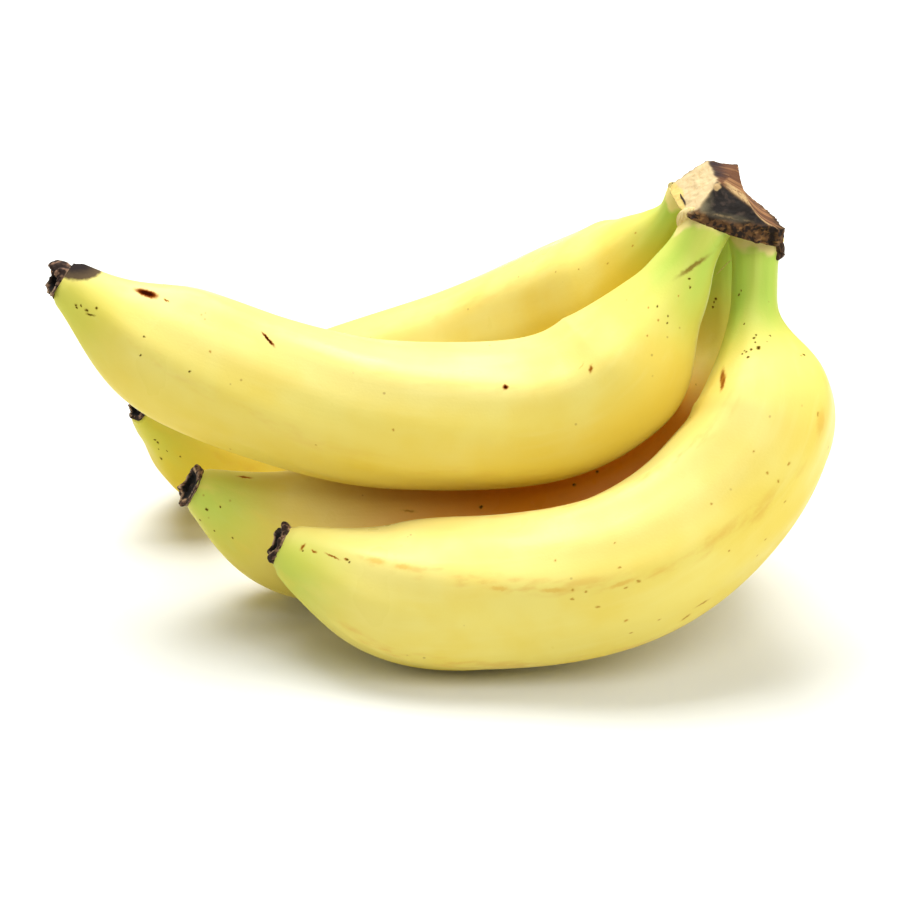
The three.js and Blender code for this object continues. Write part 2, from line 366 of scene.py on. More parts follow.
@dataclass(frozen=True)
class PeelFinish:
    """Waxy ripe peel: two yellows, a green that lingers at the ends, rubbed ridges and marks."""

    yellow: Paint = tone(233, 217, 116)
    gold: Paint = tone(231, 208, 94)
    pale: Paint = tone(238, 228, 146)
    green: Paint = tone(180, 207, 84)
    rubbed: Paint = tone(214, 156, 62)
    freckle: Paint = tone(150, 106, 40)
    lip: Paint = tone(232, 216, 140)
    # Painted shade: orange for the crevice where a finger lies against a neighbour.
    painted_crevice_shade: Paint = tone(236, 146, 14)
    # Painted highlight: pale yellow for the upward-facing peel.
    painted_top_light: Paint = tone(240, 230, 176)
    # Painted shade: deeper yellow for the downward-facing peel.
    painted_underside_shade: Paint = tone(224, 194, 44)
    roughness: float = 0.48
    roughness_drift: float = 0.14
    specular: float = 0.15
    drift_scale: float = 0.045
    streak_scale: float = 0.35
    streak_share: float = 0.18
    green_scale: float = 0.22
    rub_scale: float = 0.4
    freckle_scale: float = 0.17
    freckle_size: float = 0.075
    freckle_share: float = 0.5
    choice_scale: float = 0.06
    wander_scale: float = 1.1
    pore_scale: float = 1.6
    fibre_scale: float = 0.8
    relief_depth: float = 0.0001
    relief_strength: float = 0.3
    least_depth: float = 4.0

    def material(self, name: str, marks: tuple[Mark, ...], reach: "Finger") -> Material:
        """Mixes the peel of one finger.

        The yellows drift with broad noise. Bloom, deep yellow, amber and green follow their written
        shares, the crests of the ridges are rubbed in patches, freckles sit in random cells, and each
        mark is an ellipse with a ragged edge in the straightened finger's own space. Marks and the
        torn lip have no shine.

        Args:
            name: The material's name.
            marks: The finger's own marks.
            reach: The finger, which says where a mark lies in its straightened space.

        Returns:
            The material.
        """
        mix = Recipe(name, self.roughness, self.specular)
        straight = mix.noted("straight", vector=True)
        streaks = mix.stretched(straight, (0.12, 1.0, 1.0))
        broad = mix.noise(straight, self.drift_scale, 3.0)
        colour = mix.over(self.yellow, self.gold, mix.fade(broad, 0.36, 0.68))
        pale = mix.fade(mix.noise(streaks, self.streak_scale, 3.0), 0.5, 0.8, self.streak_share)
        colour = mix.over(colour, self.pale, pale)
        # Painted light and shade: a pale highlight on the tops, a deeper yellow on the undersides and orange
        # in the crevices between fingers.
        for paint, note in ((self.painted_top_light, "painted_top_light"), (self.painted_underside_shade, "painted_underside_shade"), (self.painted_crevice_shade, "painted_crevice_shade")):
            colour = mix.over(colour, paint, mix.noted(note))

        patchy = mix.fade(mix.noise(streaks, self.green_scale, 3.0), -0.1, 0.5)
        colour = mix.over(colour, self.green, mix.sum("MULTIPLY", mix.noted("green"), patchy))

        crest = mix.fade(mix.noted("crest"), 0.72, 1.0)
        long_patches = mix.stretched(straight, (0.35, 1.0, 1.0))
        patches = mix.fade(mix.noise(long_patches, self.rub_scale, 5.0), 0.44, 0.7)
        rub = mix.sum("MULTIPLY", mix.sum("MULTIPLY", crest, patches), mix.noted("rub"))
        colour = mix.over(colour, self.rubbed, rub)

        cells = mix.node("ShaderNodeTexVoronoi", Vector=straight, Scale=self.freckle_scale)
        speck = mix.fade(cells.outputs["Distance"], self.freckle_size, 0.4 * self.freckle_size)
        chosen = mix.fade(mix.noise(straight, self.choice_scale, 1.0), 0.5, 0.62, self.freckle_share)
        colour = mix.over(colour, self.freckle, mix.sum("MULTIPLY", speck, chosen))

        wander = mix.node("ShaderNodeTexNoise", Vector=straight, Scale=self.wander_scale, Detail=3.0)
        ragged = mix.node("ShaderNodeVectorMath")
        ragged.operation = "MULTIPLY_ADD"
        mix.feed(ragged.inputs[0], wander.outputs["Color"])
        ragged.inputs[1].default_value = (RAGGED_EDGE, RAGGED_EDGE, RAGGED_EDGE)
        mix.feed(ragged.inputs[2], straight)
        dull = mix.noted("lip")
        for mark in marks:
            colour, share = self.marked(mix, colour, ragged.outputs["Vector"], mark, reach)
            dull = mix.sum("MAXIMUM", dull, share)
        mix.feed(mix.shader.inputs["Specular IOR Level"], mix.fade(dull, 1.0, 0.0, self.specular))

        colour = mix.over(colour, self.lip, mix.noted("lip"))

        pores = mix.noise(straight, self.pore_scale, 3.0)
        fibres = mix.noise(mix.stretched(straight, (0.1, 1.0, 1.0)), self.fibre_scale, 3.0)
        mix.relief(mix.sum("ADD", pores, fibres), self.relief_depth, self.relief_strength)
        return mix.wear(colour, mix.fade(broad, 0.0, 0.8, self.roughness_drift + self.roughness))

    def marked(
        self,
        mix: Recipe,
        colour: Socket,
        straight: Socket,
        mark: Mark,
        reach: "Finger",
    ) -> tuple[Socket, Socket]:
        """Lays one mark on the peel: an ellipse round its place, turned by its slant, with a darker heart.

        Args:
            mix: The peel being mixed.
            colour: The peel's colour so far.
            straight: Places in the straightened finger, a little shifted for a ragged edge.
            mark: The mark.
            reach: The finger that it lies on.

        Returns:
            The colour with the mark, and the mark's share of the surface.
        """
        paint, heart, depth, softness = mark.kind.value
        turn = math.radians(mark.round)
        slant = math.radians(mark.slant)
        lengthways = Vector((1.0, 0.0, 0.0))
        sideways = Vector((0.0, -math.sin(turn), math.cos(turn)))
        outwards = Vector((0.0, math.cos(turn), math.sin(turn)))
        first = math.cos(slant) * lengthways + math.sin(slant) * sideways
        second = math.cos(slant) * sideways - math.sin(slant) * lengthways
        radius = float(reach.girth(np.array(mark.along)))
        shift = RAGGED_EDGE / 2
        centre = Vector((mark.along, 0.0, 0.0)) + radius * outwards + Vector((shift, shift, shift))
        made = mix.node("ShaderNodeMapping", Vector=straight)
        made.vector_type = "TEXTURE"
        made.inputs["Location"].default_value = centre
        made.inputs["Rotation"].default_value = Matrix((first, second, -outwards)).transposed().to_euler()
        inwards = min(max(mark.length, self.least_depth), 0.9 * radius)
        made.inputs["Scale"].default_value = (mark.length / 2, mark.width / 2, inwards)
        away = mix.node("ShaderNodeVectorMath")
        away.operation = "LENGTH"
        mix.feed(away.inputs[0], made.outputs["Vector"])
        distance = away.outputs["Value"]
        share = mix.fade(distance, 1.0 + softness / 2, 1.0 - softness, depth)
        colour = mix.over(colour, paint, share)
        return mix.over(colour, heart, mix.fade(distance, 0.9, 0.35, depth)), share


@dataclass(frozen=True)
class BlossomFinish:
    """Dried flower: dark brown wrinkles with painted shade in their creases, a pale tan rim and a black
    hollow.
    """

    dark: Paint = tone(40, 25, 19)
    brown: Paint = tone(132, 100, 78)
    rim: Paint = tone(196, 164, 132)
    hollow: Paint = tone(14, 9, 8)
    roughness: float = 0.8
    specular: float = 0.25
    mottle_scale: float = 900.0
    worn_scale: float = 700.0
    relief_scale: float = 1600.0

    def material(self, name: str) -> Material:
        """Mixes the dried blossom: noise between two browns, then a pale rim, painted shade in the creases
        and a black hollow by the notes.

        Args:
            name: The material's name.

        Returns:
            The material.
        """
        mix = Recipe(name, self.roughness, self.specular)
        place = mix.place()
        mottle = mix.fade(mix.noise(place, self.mottle_scale, 4.0), 0.42, 0.66)
        colour = mix.over(self.dark, self.brown, mottle)
        worn = mix.fade(mix.noise(place, self.worn_scale, 3.0), 0.38, 0.58)
        colour = mix.over(colour, self.rim, mix.sum("MULTIPLY", mix.noted("rim"), worn))
        # Painted shade: dark brown in the creases of the wall.
        colour = mix.over(colour, self.dark, mix.noted("painted_crease_shade"))
        colour = mix.over(colour, self.hollow, mix.noted("hollow"))
        mix.relief(mix.noise(place, self.relief_scale, 4.0), depth=0.0003, strength=0.6)
        return mix.wear(colour)


@dataclass(frozen=True)
class CrownFinish:
    """Dried cut crown: one cream torn face, one scorched face, one striated face and a woody rim."""

    cream: Paint = tone(208, 185, 140)
    straw: Paint = tone(192, 154, 98)
    scorched: Paint = tone(28, 22, 18)
    umber: Paint = tone(66, 53, 45)
    ash: Paint = tone(128, 119, 90)
    orange: Paint = tone(98, 62, 38)
    ginger: Paint = tone(168, 122, 78)
    plum: Paint = tone(44, 28, 28)
    tan: Paint = tone(184, 154, 106)
    bark: Paint = tone(92, 63, 36)
    pit: Paint = tone(32, 20, 12)
    chip: Paint = tone(150, 110, 64)
    rind: Paint = tone(212, 186, 108)
    roughness: float = 0.8
    specular: float = 0.25
    fine_scale: float = 1500.0
    coarse_scale: float = 620.0
    flake_scale: Point = (420.0, 420.0, 1100.0)
    grain_scale: Point = (1100.0, 200.0, 700.0)

    def material(self, name: str) -> Material:
        """Mixes the crown: each face's share is written on the points, and noise breaks each one up.

        Args:
            name: The material's name.

        Returns:
            The material.
        """
        mix = Recipe(name, self.roughness, self.specular)
        place = mix.place()
        fine = mix.noise(place, self.fine_scale, 4.0)
        coarse = mix.noise(place, self.coarse_scale, 4.0)
        flakes = mix.noise(mix.stretched(place, self.flake_scale), 1.0, 5.0)
        bark = mix.over(self.bark, self.pit, mix.fade(coarse, 0.46, 0.58))
        bark = mix.over(bark, self.chip, mix.fade(flakes, 0.54, 0.68, 0.7))

        grain = mix.noise(mix.stretched(place, self.grain_scale), 1.0, 3.0)
        cream = mix.over(self.cream, self.straw, mix.fade(grain, 0.48, 0.8, 0.5))
        scorched = mix.over(self.scorched, self.umber, mix.fade(coarse, 0.48, 0.7, 0.8))
        scorched = mix.over(scorched, self.ash, mix.noted("ash"))
        striped = mix.over(self.orange, self.ginger, mix.noted("groove"))
        striped = mix.over(striped, self.plum, mix.noted("plum"))

        colour = mix.over(bark, scorched, mix.noted("scorched"))
        colour = mix.over(colour, striped, mix.noted("striated"))
        strip = mix.sum("MULTIPLY", mix.noted("strip"), mix.fade(fine, 0.3, 0.5))
        colour = mix.over(colour, self.tan, strip)
        coats = ((cream, "cream"), (self.rind, "rind"), (self.tan, "torn"), (self.pit, "split"))
        for paint, note in coats:
            colour = mix.over(colour, paint, mix.noted(note))
        mix.relief(mix.sum("ADD", fine, coarse), depth=0.0003, strength=0.5)
        return mix.wear(colour)


@dataclass(frozen=True)
class FibreFinish:
    """Shreds of dry stem: one colour with lengthways streaks of a second."""

    main: Paint
    streak: Paint
    roughness: float = 0.75
    specular: float = 0.25
    streak_scale: Point = (1800.0, 1800.0, 500.0)

    def material(self, name: str) -> Material:
        """Mixes the shred from fine noise between its two colours.

        Args:
            name: The material's name.

        Returns:
            The material.
        """
        mix = Recipe(name, self.roughness, self.specular)
        streaks = mix.noise(mix.stretched(mix.place(), self.streak_scale), 1.0, 4.0)
        mix.relief(streaks, depth=0.0002, strength=0.5)
        return mix.wear(mix.over(self.main, self.streak, mix.fade(streaks, 0.42, 0.62)))


# The crown's seat on the stalks, shared by the stalks and the crown

SEAT_CENTRE = np.array([73.5, -3.0, 98.1])
SEAT_NORMAL = unit(np.array([0.337, 0.015, 0.941]))


# Fingers

LONG_HOLLOWS = np.array([0.7, 1.0, 1.0])
LONG_FLUTES = np.array([0.06, 1.0, 1.0])


@dataclass(frozen=True)
class Swell:
    """A low rise of the peel round one place, or a hollow where its height is below zero."""

    along: float
    round: float
    height: float
    length: float
    width: float

    def lift(self, along: Array, turn: Array) -> Array:
        """Millimetres outwards: the height times a bell along the finger and a bell round it."""
        across = bell(degrees_from(turn, self.round), 0.0, self.width)
        return self.height * bell(along, self.along, self.length) * across


@dataclass
class Finger:
    """One banana with its stalk: a slim stalk, a flare, a full ridged body and a nose."""

    name: str
    radius: float
    flare_at: float
    flare_length: float
    nose_length: float
    tip_radius: float
    first_ridge: float
    ridge_twist: float
    path: tuple[Point, ...]
    green_stalk: float
    green_depth: float
    green_nose: float
    green_side: float
    rub: float
    marks: tuple[Mark, ...] = ()
    swells: tuple[Swell, ...] = ()
    # Share, side and stretch along the finger of the orange painted shade in the crevice against a neighbour.
    painted_crevice_shade: float = 0.0
    crevice_shade_side: float = 0.0
    crevice_shade_from: float = 50.0
    crevice_shade_to: float = 150.0
    lip: float = 1.2
    lip_tail: float = 0.0
    lip_side: float = 0.0
    seed: int = 1
    rings: int = 340
    sectors: int = 176
    stalk_radius: float = 5.9
    collar_rise: float = 0.6
    collar_start: float = 2.0
    collar_end: float = 14.0
    nose_power: float = 2.5
    nose_neck: float = 1.35
    ridge_count: int = 5
    ridge_rise: float = 0.03
    ridge_edge: float = 0.01
    tip_round: float = 0.14
    tip_length: float = 2.2
    hollow_cell: float = 17.0
    hollow_wave: float = 0.175
    hollow_base: float = 0.1575
    flute_cell: float = 1.9
    flute_wave: float = 0.16
    flute_base: float = 0.1
    flute_reach: float = 25.0
    seat_overlap: float = 0.25
    least_lean: float = 0.3
    # Share of the pale painted highlight where the peel faces up.
    painted_top_light: float = 0.24
    # Share of the deeper yellow painted shade where the peel faces down.
    painted_underside_shade: float = 0.0
    length: float = field(init=False, default=0.0)

    def __post_init__(self) -> None:
        """Measures the centreline and keeps its points at even distances."""
        corners = np.array(self.path)
        fine = spline(corners, np.linspace(0, len(corners) - 1, 4000))
        walked = np.concatenate([[0.0], np.cumsum(np.linalg.norm(np.diff(fine, axis=0), axis=1))])
        self.length = float(walked[-1])
        self.walk = np.linspace(0.0, self.length, 1500)
        self.line = np.stack([np.interp(self.walk, walked, fine[:, k]) for k in range(3)], axis=-1)
        self.heading = unit(np.gradient(self.line, axis=0))
        middle = corners[3]
        self.bend_axis = unit(np.cross(middle - corners[0], corners[-1] - middle))

    def frame_at(self, along: Array) -> tuple[Array, Array, Array, Array]:
        """The centreline's place and local directions at some distances from the crown end.

        Args:
            along: Distances along the centreline.

        Returns:
            Centre, forward, outward (to the outside of the bend) and across, one row each.
        """
        centre, heading = (
            np.stack([np.interp(along, self.walk, kept[:, k]) for k in range(3)], axis=-1)
            for kept in (self.line, self.heading)
        )
        forward = unit(heading)
        outward = unit(np.cross(forward, self.bend_axis))
        return centre, forward, outward, np.cross(forward, outward)

    def girth(self, along: Array) -> Array:
        """Plain radius: a stalk with a collar, eased up to the body and closed to the tip.

        The nose closes by powers of its share of the way to the tip.

        Args:
            along: Distances along the centreline.

        Returns:
            Radii.
        """
        start = self.flare_at - self.flare_length / 2
        flare = smooth_step(along, start, start + self.flare_length)
        collar = self.collar_rise * (1.0 - smooth_step(along, self.collar_start, self.collar_end))
        body = self.stalk_radius + collar + (self.radius - self.stalk_radius) * flare
        nose = np.maximum(0.0, 1.0 - (self.length - along) / self.nose_length)
        return self.tip_radius + (body - self.tip_radius) * (1.0 - nose**self.nose_power) ** self.nose_neck

    def ridge_turn(self, along: Array, turn: Array) -> Array:
        """The angle round the section counted in ridges, 0 on a crest, as the ridges wind along."""
        lead = np.radians(self.first_ridge + self.ridge_twist * along / self.length)
        return self.ridge_count * (turn - lead)

    def ridge_fade(self, along: Array) -> Array:
        """How far the ridges stand, fading out at the stalk and at the tip."""
        from_stalk = smooth_step(along, 0.0, self.flare_at + self.flare_length / 2)
        return from_stalk * smooth_step(self.length - along, 0.0, self.nose_length / 2)

    def surface(self, along: Array, turn: Array) -> tuple[Array, Array]:
        """The peel as a function of distance along the centreline and angle round it.

        The radius is the girth, lifted by cosine ridges and by the finger's own swells, lowered by
        broad soft hollows and by fine fluting on the stalk, and drawn in at the very tip. Points above
        the seat slide back along the stalk to it, and points under the table are pressed up to it.

        Args:
            along: Distances, one column.
            turn: Angles in radians, one row.

        Returns:
            The points and the straightened places, by ring and sector.
        """
        centre, forward, outward, across = self.frame_at(along[:, 0])
        phase = self.ridge_turn(along, turn)
        lift = self.ridge_rise * np.cos(phase) + self.ridge_edge * np.cos(2 * phase)
        reach = self.girth(along) * (1.0 + lift * self.ridge_fade(along))
        spread = np.cos(turn)[..., None] * outward[:, None] + np.sin(turn)[..., None] * across[:, None]
        straight = np.stack(np.broadcast_arrays(along, reach * np.cos(turn), reach * np.sin(turn)), axis=-1)
        hollow = self.hollow_wave * soft_noise(straight * LONG_HOLLOWS, self.hollow_cell, self.seed)
        flute = self.flute_wave * soft_noise(straight * LONG_FLUTES, self.flute_cell, self.seed + 5)
        stalk_share = smooth_step(along, self.flare_at, self.flare_at - self.flute_reach)
        reach = reach + (hollow - self.hollow_base) * self.ridge_fade(along)
        reach = reach + (flute - self.flute_base) * stalk_share
        reach = reach + sum(swell.lift(along, turn) for swell in self.swells)
        drawn_in = self.tip_round * smooth_step(along, self.length - self.tip_length, self.length)
        reach = reach * (1.0 - drawn_in)
        points = centre[:, None] + reach[..., None] * spread

        over = np.maximum((points - SEAT_CENTRE) @ SEAT_NORMAL - self.seat_overlap, 0.0)
        lean = np.minimum(forward @ SEAT_NORMAL, -self.least_lean)
        points = points - (over / lean[:, None])[..., None] * forward[:, None]
        points[..., 2] = np.maximum(points[..., 2], 0.0)
        return points, straight

    def spot(self, along: float, angle: float, lift: float = 0.0) -> Array:
        """The point of the peel at a distance and an angle in degrees, raised by the lift."""
        turn = np.array([[math.radians(angle)]])
        points, _ = self.surface(np.array([[along]]), turn)
        centre = self.frame_at(np.array([along]))[0][0]
        return points[0, 0] + lift * unit(points[0, 0] - centre)

    def notes(self, points: Array, along: Array, turn: Array) -> dict[str, Array]:
        """What the finish needs to know at each point.

        Green is full on the stalk and eases out over the flare, and comes back near the tip on one
        side. An orange painted shade lies on the side that faces a neighbour, in the crevice between the
        fingers. The lip is the pale torn edge under the crown, with a longer tail on one side. A pale
        painted highlight lies on the top and a deeper yellow painted shade lies below.

        Args:
            points: The finished points.
            along: Distances, one column.
            turn: Angles in radians, one row.

        Returns:
            Values by ring and sector, under the names that the finish reads.
        """
        crest = np.cos(self.ridge_turn(along, turn))
        stalk = smooth_step(along, self.green_stalk + 14.0, self.green_stalk - 12.0)
        stalk = stalk * (self.green_depth - 0.12 * crest)
        side = 0.5 + 0.5 * np.cos(turn - math.radians(self.green_side))
        nose = self.green_nose * smooth_step(self.length - along, 26.0, 3.0) * side**1.6
        # Painted shade: orange on the side that faces a neighbour, over a stretch along the finger.
        crevice_side = smooth_step(np.cos(turn - math.radians(self.crevice_shade_side)), 0.3, 0.95)
        stretch = smooth_step(along, self.crevice_shade_from - 14.0, self.crevice_shade_from + 14.0)
        stretch = stretch * smooth_step(along, self.crevice_shade_to + 35.0, self.crevice_shade_to - 35.0)
        upwards = unit(points - self.frame_at(along[:, 0])[0][:, None])[..., 2]
        height = (points - SEAT_CENTRE) @ SEAT_NORMAL
        ragged = 0.7 * soft_noise(points, 1.6, self.seed + 9)
        tail = bell(np.radians(degrees_from(turn, self.lip_side)), 0.0, 0.5)
        lip = self.lip + self.lip_tail * tail
        return {
            "green": np.clip(stalk + nose, 0.0, 1.0),
            "crest": crest * self.ridge_fade(along),
            "rub": np.broadcast_to(self.rub * smooth_step(along, 35.0, 80.0), crest.shape),
            "lip": smooth_step(height + ragged + lip, -1.0, 0.6),
            "painted_crevice_shade": self.painted_crevice_shade * crevice_side * stretch,
            # Painted highlight: paler where the peel faces up.
            "painted_top_light": smooth_step(upwards, 0.2, 0.9) * self.painted_top_light,
            # Painted shade: deeper yellow where the peel faces down.
            "painted_underside_shade": smooth_step(upwards, 0.3, -0.5) * self.painted_underside_shade,
        }

    def build(self) -> Piece:
        """Makes the finger's skin with its notes.

        Returns:
            The piece.
        """
        along = np.linspace(0.0, self.length, self.rings)[:, None]
        turn = np.linspace(-math.pi, math.pi, self.sectors, endpoint=False)[None, :]
        points, straight = self.surface(along, turn)
        first, last = points[0].mean(axis=0), points[-1].mean(axis=0)
        piece = closed_skin(f"peel_{self.name}", points, first, last)
        note_on(piece, "straight", straight, np.zeros(3), np.array([self.length, 0.0, 0.0]))
        for name, values in self.notes(points, along, turn).items():
            note_on(piece, name, values, values[0].mean(), values[-1].mean())
        return piece

    def dress(self, piece: Piece, finish: PeelFinish) -> None:
        """Gives the finger its own peel."""
        settle(piece, f"finger_{self.name}", finish.material(f"peel_{self.name}", self.marks, self))


# Blossom ends

@dataclass
class BlossomEnd:
    """The dried flower at a finger's tip: a wrinkled collar round a hollow with a stub in it."""

    finger: Finger
    radius: float
    length: float
    tall_side: Point = (0.0, 0.9, 0.4)
    lean: float = 0.4
    aim: Point = (0.0, 0.0, 0.0)
    lobes: int = 5
    lobe_depth: float = 0.1
    wave: float = 0.25
    rim_at: float = 0.53
    rim_width: float = 0.04
    foot_at: float = 0.17
    foot_width: float = 0.03
    crumple: float = 0.22
    seed: int = 3
    rings: int = 130
    sectors: int = 180

    def profile(self, share: Array) -> tuple[Array, Array]:
        """Radius and height of the collar's section, from under its foot over the rim to the stub.

        Args:
            share: Places along the section, from 0 to 1.

        Returns:
            Radius and height at each place.
        """
        foot = np.array([(0.3, -0.7), (0.86, -0.6)]) * (self.radius, 1.0)
        wall = np.array([
            (0.98, 0.1), (1.0, 0.5), (0.93, 0.88), (0.79, 1.0), (0.64, 0.84), (0.54, 0.35), (0.3, 0.16),
            (0.17, 0.4), (0.05, 0.5),
        ]) * (self.radius, self.length)
        section = np.vstack([foot, wall])
        drawn = spline(section, share * (len(section) - 1))
        return drawn[:, 0], drawn[:, 1]

    def build(self) -> Piece:
        """Turns the section round the tip's axis, with lobes on the rim and creases down the wall.

        The radius is the section's, times one plus a lobe cosine that grows with height, plus
        crease noise that runs up the wall. The height is scaled by the lean towards the tall side
        and by a wavy edge. The axis turns from the finger's heading at the foot to the aim at the rim.

        Returns:
            The piece.
        """
        share = np.linspace(0.0, 1.0, self.rings)
        radius, height = self.profile(share)
        turn = np.linspace(0.0, 2 * math.pi, self.sectors, endpoint=False)[None, :]
        tip = self.finger.frame_at(np.array([self.finger.length]))
        centre, forward, outward, across = (part[0] for part in tip)
        tall = math.atan2(float(across @ self.tall_side), float(outward @ self.tall_side))
        heading = unit(forward + np.array(self.aim))
        up = np.clip(height / self.length, 0.0, 1.0)[:, None]
        axis = unit((1.0 - up) * forward + up * heading)
        aside = unit(outward - (axis @ outward)[:, None] * axis)
        ring = np.stack([np.cos(turn) * 6.0, np.sin(turn) * 6.0, np.zeros(turn.shape)], axis=-1)
        crease = soft_noise(ring, 1.5, self.seed) + 0.6 * soft_noise(ring, 0.7, self.seed + 1)
        lobe = np.cos(self.lobes * turn + self.seed + 1.4 * soft_noise(ring, 5.0, self.seed + 2))
        wide = radius[:, None] * (1.0 + up * (self.lobe_depth * lobe + 0.1 * crease))
        stand = 1.0 + up * (self.lean * np.cos(turn - tall) + self.wave * (lobe + 0.6 * crease))
        high = height[:, None] * np.maximum(stand, 0.25)
        points = (
            centre
            + (wide * np.cos(turn))[..., None] * aside[:, None]
            + (wide * np.sin(turn))[..., None] * np.cross(axis, aside)[:, None]
            + high[..., None] * axis[:, None]
        )
        crumple = self.crumple * soft_noise(points, 0.9, self.seed + 4)
        points = points + crumple[..., None] * unit(points - centre)
        name = f"blossom_{self.finger.name}"
        piece = closed_skin(name, points, points[0].mean(axis=0), points[-1].mean(axis=0))
        rim = bell(share, self.rim_at, self.rim_width) + 0.5 * bell(share, self.foot_at, self.foot_width)
        hollow = smooth_step(share, 0.58, 0.64) * (1.0 - 0.4 * smooth_step(share, 0.84, 0.95))
        # Painted shade in the wall's creases, where the crease noise draws the wall in.
        painted_crease_shade = smooth_step(crease, 0.15, -0.5) * smooth_step(share, 0.15, 0.3)[:, None]
        for note, values in (("rim", rim[:, None]), ("hollow", hollow[:, None]), ("painted_crease_shade", painted_crease_shade)):
            spread = np.broadcast_to(values, wide.shape)
            note_on(piece, note, spread, spread[0, 0], spread[-1, 0])
        return piece

    def dress(self, piece: Piece, finish: BlossomFinish) -> None:
        """Gives the blossom end its dry finish."""
        name = self.finger.name
        settle(piece, f"blossom_end_{name}", finish.material(f"dried_{name}"))


# Crown

